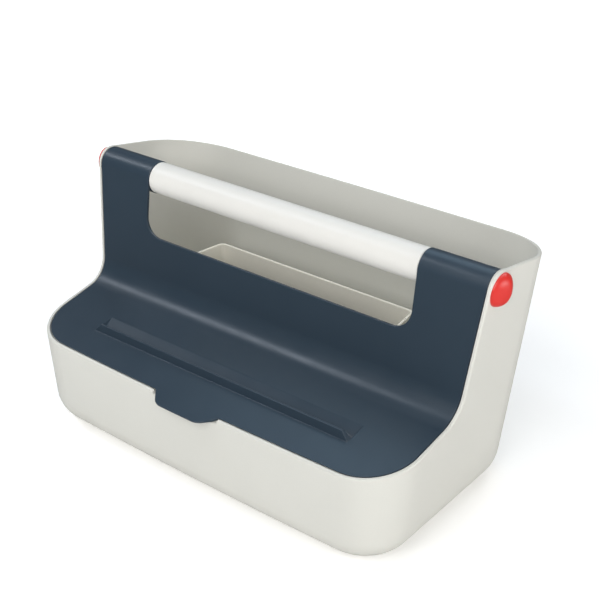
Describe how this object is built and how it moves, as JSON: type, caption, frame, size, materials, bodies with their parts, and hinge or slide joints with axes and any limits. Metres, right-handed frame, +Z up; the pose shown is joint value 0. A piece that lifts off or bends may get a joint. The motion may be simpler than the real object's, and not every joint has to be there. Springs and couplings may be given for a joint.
{
  "type": "portable file box with hinged front lid",
  "caption": "Portable file box: tapered off-white tub with a slate-blue hinged front lid, white round carrying handle between red end caps, and an inner divider.",
  "frame": {"origin": "on the ground plane, in the middle of the footprint's bounding box", "axes": "+X to the right seen from the front, along the handle; -Y is the front with the pull tab, +Y the file compartment at the back; +Z up"},
  "size_m": [0.3812, 0.214, 0.1962],
  "materials": {
    "tub_plastic": "fine satin, warm off-white",
    "divider_plastic": "fine satin, cream white",
    "lid_plastic": "fine satin, slate blue-grey",
    "handle_plastic": "smooth satin white",
    "cap_plastic": "semi-gloss red",
    "zinc_steel": "zinc plated",
    "foot_rubber": "matt dark grey"
  },
  "bodies": {
    "box": {"box_shell": "tub_plastic", "divider": "divider_plastic", "handle_tube": "handle_plastic", "hinge_pin_right": "handle_plastic", "hinge_pin_left": "handle_plastic", "cap_washer_right": "zinc_steel", "cap_washer_left": "zinc_steel", "handle_screws": "zinc_steel", "pivot_cap_right": "cap_plastic", "pivot_cap_left": "cap_plastic", "feet": "foot_rubber"},
    "lid": {"lid": "lid_plastic"}
  },
  "joints": [
    {"name": "lid_hinge", "type": "hinge", "parent": "box", "child": "lid", "pos_m": [0, 0.014, 0.183], "axis": [-1, 0, 0], "range_deg": [0, 100]}
  ]
}
